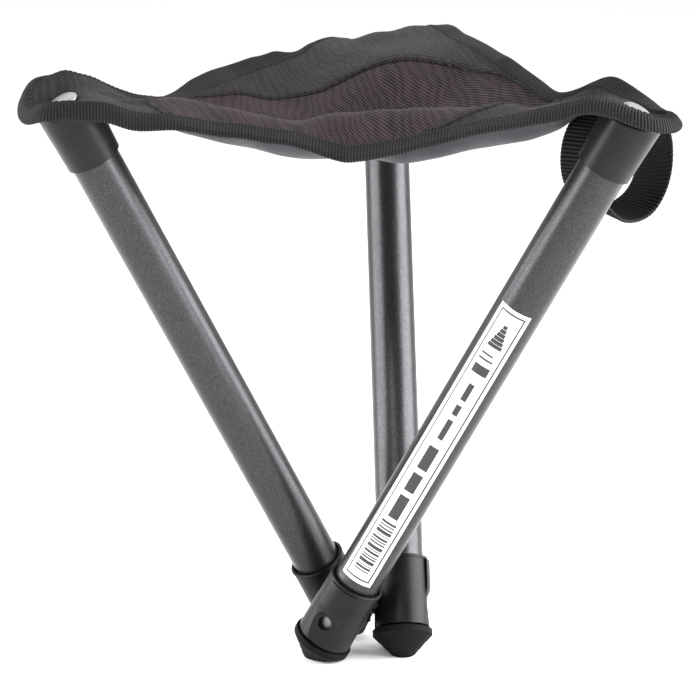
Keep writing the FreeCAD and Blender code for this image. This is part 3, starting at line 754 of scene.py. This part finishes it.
def seat_cloth(leg):
    """One third of the seat's cloth, from the hub's axis out to inside the binding."""
    length = EDGES[leg].length
    strip = Strip(leg, np.linspace(-length, length, CLOTH_COLUMNS))
    plan = np.linspace(0.0, 1.0, CLOTH_ROWS)[:, None, None] * strip.inner[None]
    inside = np.dstack([plan, height(plan)[..., None]])
    middle = np.vstack([inside, [strip.at(reach, 0.0) for reach in STRIP_ROWS]])
    normal = np.vstack([plan_normals(plan), [strip.normals(reach) for reach in STRIP_ROWS]])
    low, high = middle - CLOTH_HALF * normal, middle + CLOTH_HALF * normal
    piece = closed_sheet(f"seat_cloth_{leg}", low, high, [PANEL, UNDERSIDE], flat_weave(middle), normal)
    follow_leg(piece)
    return piece


def plan_normals(plan):
    """Normals of the height over the plan, from small steps each way."""
    step = 0.6
    right = np.array([step, 0.0])
    back = np.array([0.0, step])
    slope_x = (height(plan + right) - height(plan - right)) / (2 * step)
    slope_y = (height(plan + back) - height(plan - back)) / (2 * step)
    normal = np.dstack([-slope_x, -slope_y, np.ones(slope_x.shape)])
    return normal / np.linalg.norm(normal, axis=-1, keepdims=True)


# Where the binding's fold begins, across the strip
FOLD_AT = TAPE_WIDTH - TAPE_OUTSIDE


def tape_profile():
    """The binding's cross-section: (distance across, height) outside, then back inside."""
    corner = 0.25
    bend = [(math.sin(t), math.cos(t)) for t in np.linspace(0, math.pi, 9)]
    across = [0.5, 2.0, 3.6, 5.2, 6.8, 8.2]
    outer = [(0.0, TAPE_INSIDE + corner), (corner, TAPE_OUTSIDE - corner)]
    outer += [(reach, TAPE_OUTSIDE) for reach in across]
    outer += [(FOLD_AT + TAPE_OUTSIDE * s, TAPE_OUTSIDE * c) for s, c in bend]
    outer += [(reach, -TAPE_OUTSIDE) for reach in reversed(across)]
    outer += [(corner, corner - TAPE_OUTSIDE), (0.0, -TAPE_INSIDE - corner)]
    inner = [(0.1, -TAPE_INSIDE), (5.0, -TAPE_INSIDE), (FOLD_AT + 0.6, 0.0), (5.0, TAPE_INSIDE),
             (0.1, TAPE_INSIDE)]
    return outer, inner


def seat_tape(leg):
    """Ribbed binding folded round the edge of one third of the seat."""
    length = EDGES[leg].length
    count = int(2 * length / (RIB_PITCH / 4)) + 1
    along = np.linspace(-length, length, count)
    strip = Strip(leg, along)
    ribs = RIB_DEPTH * np.cos(2 * math.pi * along / RIB_PITCH)
    outer, inner = tape_profile()
    columns = []
    for reach, lift in outer:
        bent = max(0.0, reach - FOLD_AT)
        grown = ribs * (reach > 0.2) / np.hypot(lift, bent)
        columns.append(strip.at(reach + bent * grown, lift * (1 + grown)))
    columns += [strip.at(reach, lift) for reach, lift in inner]
    points = np.stack(columns, axis=1)
    profile = len(columns)
    weave = np.zeros(points.shape)
    weave[..., 0] = (along + LEGS.index(leg) * 2 * length)[:, None] * MM
    weave[..., :len(outer), 1] = travelled(outer)[None, :] * MM
    piece = make_mesh(f"seat_tape_{leg}", points.reshape(-1, 3), bar_faces(count, profile), [TAPE],
                      weave=weave)
    follow_leg(piece)
    return piece


# Hem of each corner's patch: the edge distances of its two ends, how far from the hub its
# middle lies, and how much more it bows near its first end.
HEMS = {"right": (-122.0, 100.0, 95.0, 0.0), "back": (-200.0, 192.0, 57.0, 0.5),
        "left": (-112.0, 76.0, 107.0, 0.0)}
HEM_WIDTH = 4.6
HEM_STEP = 0.4
# Extra height of the doubled hem over the patch, and of its puckers, which are this far apart
HEM_LIFT = 0.75
PUCKER = 0.12
PUCKER_PACE = 2.3
PATCH_COLUMNS = 241
PATCH_ROWS = 58
# Distance across the strip where the patch ends under the binding
TUCK = 1.0
# Share of its thickness that a patch has at its inner edge, and where it has all of it
RIM_SHARE, RIM_WIDTH = 0.4, 0.7


class Hem:
    """A corner patch's outer strip, and its bowed inner edge."""

    def __init__(self, leg, columns):
        start, end, reach_middle, uneven = HEMS[leg]
        self.strip = Strip(leg, np.linspace(start, end, columns))
        self.outside = self.strip.inner
        self.share = np.linspace(0, 1, columns)
        share = self.share
        first, last = self.outside[0], self.outside[-1]
        axis = polar(1.0, CORNER[leg])
        now = ((first + last) / 2).dot(axis)
        bow = (reach_middle - now) * 4 * share * (1 - share) * (1 + uneven * (0.5 - share))
        self.line = first + share[:, None] * (last - first) + bow[:, None] * axis
        self.depth = np.maximum(np.linalg.norm(self.outside - self.line, axis=1), 0.01)

    def row(self, reach):
        """Plan points at a distance in from the hem, at most halfway to the strip."""
        part = np.minimum(reach / self.depth, 0.5)[:, None]
        return self.line + part * (self.outside - self.line)


def corner_patch(leg):
    """Second layer of cloth over one corner, with a turned hem along its inner edge."""
    hem = Hem(leg, PATCH_COLUMNS)
    near = [0.0, 0.3, 1.2, 2.4, 3.6, HEM_WIDTH - 0.3, HEM_WIDTH, HEM_WIDTH + HEM_STEP]
    rows = [hem.row(reach) for reach in near]
    first = rows[-1]
    rows += [first + part * (hem.outside - first) for part in np.linspace(0, 1, PATCH_ROWS)[1:]]
    plan = np.stack(rows)
    normal = plan_normals(plan)
    middle = np.dstack([plan, height(plan)[..., None]])
    band = np.linalg.norm(plan - hem.line[None], axis=-1)
    lifted = 1 - smooth((band - HEM_WIDTH) / HEM_STEP)
    pucker = PUCKER * np.sin(hem.share * hem.depth.max() / PUCKER_PACE)[None, :] * lifted
    top = PATCH_HIGH + (HEM_LIFT + pucker) * lifted
    round_off = RIM_SHARE + (1 - RIM_SHARE) * smooth(band / RIM_WIDTH)
    high = middle + (PATCH_LOW + (top - PATCH_LOW) * round_off)[..., None] * normal
    low = middle + PATCH_LOW * normal
    low = np.vstack([low, [hem.strip.at(TUCK, PATCH_LOW)]])
    high = np.vstack([high, [hem.strip.at(TUCK, PATCH_HIGH)]])
    normal = np.vstack([normal, [hem.strip.normals(TUCK)]])
    piece = closed_sheet(f"corner_patch_cloth_{leg}", low, high, [PATCH, PATCH], flat_weave(high),
                         shaded(high, normal))
    follow_leg(piece)
    return piece


def shaded(grid, upward):
    """Unit normals of a grid of points, turned to the same side as the upward ones."""
    normal = np.cross(np.gradient(grid, axis=1), np.gradient(grid, axis=0))
    normal = normal / np.maximum(np.linalg.norm(normal, axis=-1, keepdims=True), 1e-12)
    side = np.sum(normal * upward, axis=-1, keepdims=True)
    return np.where(side < 0, -normal, normal)


# ---------------------------------------------------------------- stitching

# Stitches: spacing, length and half thickness, on the binding and on the hem
TAPE_STITCH = (3.1, 2.3, 0.28)
HEM_STITCH = (2.2, 1.7, 0.26)
BEAD_RINGS = 5
BEAD_SIDES = 6
# The binding's thread: distance across the strip, height over the binding
TAPE_ROW, TAPE_CLEAR = 1.8, 0.12
# The hem's two threads: distances in from its edge, height over the patch
HEM_ROWS, HEM_CLEAR = (1.0, 3.7), 0.8


def stitch_row(points, normals, pitch, length, thick):
    """Small stitches along a line of points: each a low six-sided bead that dips at its ends."""
    distances = travelled(points)
    verts, faces = [], []
    for number in range(int(distances[-1] / pitch)):
        begin = (number + 0.5) * pitch - length / 2
        base = len(verts)
        for part in np.linspace(0, 1, BEAD_RINGS):
            where = begin + part * length
            centre, up = (sample(table, distances, where) for table in (points, normals))
            ahead = np.subtract(*sample(points, distances, [where + 0.1, where - 0.1]))
            side = np.cross(ahead, up)
            side /= max(np.linalg.norm(side), 1e-9)
            swell = 0.35 + 0.65 * math.sin(math.pi * part)
            for spoke in range(BEAD_SIDES):
                turn = 2 * math.pi * spoke / BEAD_SIDES
                offset = side * math.cos(turn) + up * (math.sin(turn) - 0.2 + 0.5 * (swell - 1))
                verts.append(centre + thick * swell * offset)
        faces += [tuple(base + corner for corner in face) for face in bar_faces(BEAD_RINGS, BEAD_SIDES)]
    return verts, faces


def stitches(leg):
    """Rows of thread: along the binding above and below, and two along the patch's hem."""
    verts, faces = [], []

    def add(points, normals, stitch):
        more, sides = stitch_row(points, normals, *stitch)
        shift = len(verts)
        verts.extend(more)
        faces.extend(tuple(shift + n for n in side) for side in sides)

    length = EDGES[leg].length
    strip = Strip(leg, np.linspace(-length, length, 500))
    clear, upward = TAPE_OUTSIDE + TAPE_CLEAR, strip.normals(TAPE_ROW)
    add(strip.at(TAPE_ROW, clear), upward, TAPE_STITCH)
    add(strip.at(TAPE_ROW, -clear), -upward, TAPE_STITCH)
    hem = Hem(leg, 400)
    whole = slice(12, -12)
    for reach in HEM_ROWS:
        plan = hem.row(reach)
        normal = plan_normals(plan[None])[0]
        points = np.hstack([plan, height(plan)[:, None]]) + (PATCH_HIGH + HEM_CLEAR) * normal
        add(points[whole], normal[whole], HEM_STITCH)
    piece = make_mesh(f"stitching_{leg}", verts, faces, [THREAD], weave=np.array(verts) * MM)
    follow_leg(piece)
    return piece


def build_seat():
    for leg in LEGS:
        cloth = seat_cloth(leg)
        tape = seat_tape(leg)
        patch = corner_patch(leg)
        thread = stitches(leg)
        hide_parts(f"corner_patch_{leg}")
        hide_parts("edge_binding")
        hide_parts("seat_panel")


# ---------------------------------------------------------------- carrying loop

STRAP_WIDTH = 25.0
STRAP_THICK = 1.6
# Share of its thickness by which a rib swells, and how far its two edges curl outward
STRAP_RIB_SHARE = 0.3
STRAP_BOW = 0.25
# Middle of the loop in plan, and the azimuth that its ring lies along
STRAP_CENTRE = (127.0, -29.0)
STRAP_AZIMUTH = 46.0
STRAP_SECTIONS = 440
# Route of the webbing's middle line, seen square on: (distance outward, height)
STRAP_ROUTE = [(-9, 290), (-18, 284), (-25.5, 274), (-27, 262), (-24, 249), (-14.5, 239), (-1, 234.2),
               (12, 236), (22, 244), (26.5, 255), (26, 267), (20, 278), (8, 286), (-5, 290.5)]
# How much the webbing's outer edge rises, against the share of its length
STRAP_TILT = [(0.0, 0.0), (0.2, 0.05), (0.42, -0.2), (0.55, -0.12), (0.72, 0.3), (0.88, 0.2), (1.0, 0.0)]


def smooth_route(points, count):
    """Points evenly along a uniform cubic B-spline drawn by the given ones, and its length."""
    table = np.array([points[0]] * 2 + list(points) + [points[-1]] * 2, float)
    fine = []
    for start in range(len(table) - 3):
        for t in np.linspace(0, 1, 24, endpoint=False):
            second, third = 3 * t ** 3 - 6 * t ** 2 + 4, -3 * t ** 3 + 3 * t ** 2 + 3 * t + 1
            weights = ((1 - t) ** 3, second, third, t ** 3)
            fine.append(np.dot(weights, table[start:start + 4]) / 6)
    distances = travelled(fine)
    return sample(np.array(fine), distances, np.linspace(0, distances[-1], count)), distances[-1]


def strap_section():
    """The webbing's cross-section: (distance across, height), the inner face first."""
    half, thick, edge_round, rim = STRAP_WIDTH / 2, STRAP_THICK / 2, 0.6, 0.2
    flat = [half - edge_round, *np.linspace(half - 3, 3 - half, 7), edge_round - half]
    lower = [(across, -thick) for across in reversed(flat)]
    upper = [(across, thick) for across in flat]
    return [(-half, -rim), *lower, (half, -rim), (half, rim), *upper, (-half, rim)]


def carry_strap():
    """The loop of ribbed webbing, sewn under the seat's edge beside the right corner."""
    route, length = smooth_route(STRAP_ROUTE, STRAP_SECTIONS)
    tangent = np.gradient(route, axis=0)
    tangent /= np.linalg.norm(tangent, axis=1, keepdims=True)
    along = np.append(polar(1.0, STRAP_AZIMUTH), 0.0)
    wide = np.append(polar(1.0, STRAP_AZIMUTH - 90), 0.0)
    section = strap_section()
    verts, weave = [], []
    shares, tilts = zip(*STRAP_TILT)
    for (e, z), (te, tz), s in zip(route, tangent, np.linspace(0, length, STRAP_SECTIONS)):
        tilt = np.interp(s / length, shares, tilts)
        swell = 1 + STRAP_RIB_SHARE * math.cos(2 * math.pi * s / WEBBING_PITCH)
        for across, lift in section:
            tall = lift * swell + STRAP_BOW * (across / (STRAP_WIDTH / 2)) ** 2
            point = np.array([*STRAP_CENTRE, z - te * tall + across * tilt])
            point += along * (e + tz * tall) + wide * across * math.sqrt(1 - tilt ** 2)
            verts.append(point)
            weave.append((s * MM, across * MM, 0.0))
    faces = bar_faces(STRAP_SECTIONS, len(section))
    piece = make_mesh("carry_loop_webbing", verts, faces, [WEBBING], weave=weave)
    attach(piece, "carry_loop")
    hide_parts("carry_strap")


# ---------------------------------------------------------------- label

# The label's ends along the tube from its pivot, its arc round it and where that turns
LABEL_BOTTOM, LABEL_TOP = 27.0, 196.0
LABEL_ARC, LABEL_TURN = 84.0, 9.0
TUBE_RADIUS = 12.0
# Inner and outer heights over the tube, of the film and of the print
FILM_FROM, FILM_TO = 0.03, 0.14
INK_FROM, INK_TO = 0.13, 0.17
# Spacing of a film plate's points, in millimetres along and degrees round
PLATE_PITCH = 4


def film_piece(name, rectangles, low, high, material):
    """Bent rectangles of film on the right leg: ((from, to) along, (from, to) round)."""
    foot = (PIVOTS[0] - Vector((HUB.x, HUB.y, 0))) / MM
    up = -Vector(joint("extend_right")["axis"]).normalized()
    out = Vector((foot.x, foot.y, 0)).normalized()
    side = up.cross(out)
    verts, faces = [], []
    for sides in rectangles:
        rows, columns = (2 + int((last - first) / PLATE_PITCH) for first, last in sides)
        faces += plate_faces(rows, columns, len(verts))
        for lift in (high, low):
            for along in np.linspace(*sides[0], rows):
                for azimuth in np.linspace(*sides[1], columns):
                    turn = math.radians(azimuth + LABEL_TURN)
                    spoke = out * math.cos(turn) + side * math.sin(turn)
                    verts.append(tuple(foot + up * along + spoke * (TUBE_RADIUS + lift)))
    piece = make_mesh(name, verts, faces, [material])
    piece.data.polygons.foreach_set("use_smooth", [False] * len(piece.data.polygons))
    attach(piece, "leg_right")
    return piece


def label_bars():
    """Border, stripes and plain bars where a maker would print words."""
    inset, line, thin = 2.0, 0.9, 4.0
    low, high = LABEL_BOTTOM + inset, LABEL_TOP - inset
    side = LABEL_ARC / 2 - 9.0
    bars = [((low, high), (-side, -side + thin)), ((low, high), (side - thin, side)),
            ((low, low + line), (-side, side)), ((high - line, high), (-side, side))]
    where = low + 5
    for number in range(17):
        width = (0.7, 1.3, 0.5, 1.9, 0.9)[number % 5]
        bars.append(((where, where + width), (-20, 20)))
        where += width + (0.8, 0.6, 1.1)[number % 3]
    bars += [(ends, (-12, 14)) for ends in ((68, 82), (85, 96), (99, 113))]
    bars += [(ends, (-6, 8)) for ends in ((118, 130), (133, 139), (142, 152))]
    bars += [((158, 163), (-20, 20)), ((166, 167), (-20, 16)), ((169, 170), (-20, 10))]
    bars += [((174 + 2.2 * n, 176 + 2.2 * n), (-18 + 2.6 * n, 18 - 2.6 * n)) for n in range(6)]
    return bars


def product_label():
    """White film on the right leg, with generic print."""
    whole = ((LABEL_BOTTOM, LABEL_TOP), (-LABEL_ARC / 2, LABEL_ARC / 2))
    sheet = film_piece("label_sheet", [whole], FILM_FROM, FILM_TO, FILM)
    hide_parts("product_label")
    film_piece("label_print", label_bars(), INK_FROM, INK_TO, INK)


# ---------------------------------------------------------------- studio

FLOOR_HALF = 30.0


def floor():
    mesh = bpy.data.meshes.new("floor")
    corners = [(x * FLOOR_HALF, y * FLOOR_HALF, 0) for x, y in ((-1, -1), (1, -1), (1, 1), (-1, 1))]
    mesh.from_pydata(corners, [], [(0, 1, 2, 3)])
    paint = Paint("floor_paint")
    cloud = paint.noise(paint.coordinates(), 3.0, 2.0, 0.5)
    colour = paint.ramp(cloud, [(0.3, 0.98), (0.7, 0.99)])
    mesh.materials.append(paint.finish(colour, 0.9))
    piece = link("floor", mesh)


def softbox(name, spot, size, power):
    """A rectangular lamp aimed at the stool's middle."""
    data = bpy.data.lights.new(name, "AREA")
    data.shape = "RECTANGLE"
    data.size, data.size_y = size
    data.energy = power
    lamp = link(name, data)
    lamp.location = spot
    direction = Vector((0.0, HUB.y, 0.17)) - Vector(spot)
    lamp.rotation_euler = direction.to_track_quat("-Z", "Y").to_euler()
    lamp.visible_camera = False


def studio():
    """Surroundings dark in front and white behind, two tall side lights and a soft sky."""
    world = bpy.data.worlds.new("studio")
    bpy.context.scene.world = world
    sky = Nodes(world)
    direction = sky.node("TexCoord").outputs["Generated"]
    _, backward, _ = sky.node("SeparateXYZ", Vector=direction).outputs
    share = sky.node("MapRange", Value=backward, From_Min=-1.0)
    back = sky.tree.nodes["Background"]
    sky.put(back, "Color", sky.ramp(share, [(0.12, 0.07), (0.75, 1.0)]))
    sky.put(back, "Strength", 0.8)
    softbox("softbox_left", (-1.3, -0.2, 0.55), (1.3, 1.2), 36)
    softbox("softbox_right", (1.3, -0.1, 0.6), (1.4, 1.2), 58)
    softbox("softbox_front", (-0.35, -1.7, 1.5), (0.9, 0.6), 7)
    overhead = bpy.data.lights.new("overhead", "SUN")
    overhead.energy = 1.5
    overhead.angle = math.radians(110)
    link("overhead", overhead)


def camera():
    """The photograph's view, found by fitting the three tubes: a long lens, turned slightly."""
    data = bpy.data.cameras.new("camera")
    focal_widths = 3.941033
    data.sensor_width = 36.0
    data.lens = data.sensor_width * focal_widths
    data.shift_x = -0.0155
    data.shift_y = -0.0059
    data.clip_end = 100
    spot = Vector((0.1084, HUB.y - 1.3504, 0.4622))
    aim = Vector((0.0, HUB.y, 0.1623))
    roll = math.radians(0.381)
    turn = (aim - spot).to_track_quat("-Z", "Y").to_matrix().to_4x4()
    piece = link("camera", data)
    piece.matrix_world = Matrix.Translation(spot) @ turn @ Matrix.Rotation(roll, 4, "Z")
    bpy.context.scene.camera = piece
    bpy.context.scene.view_settings.view_transform = "Standard"


camera()
studio()
floor()
dress_frame()
build_seat()
carry_strap()
product_label()
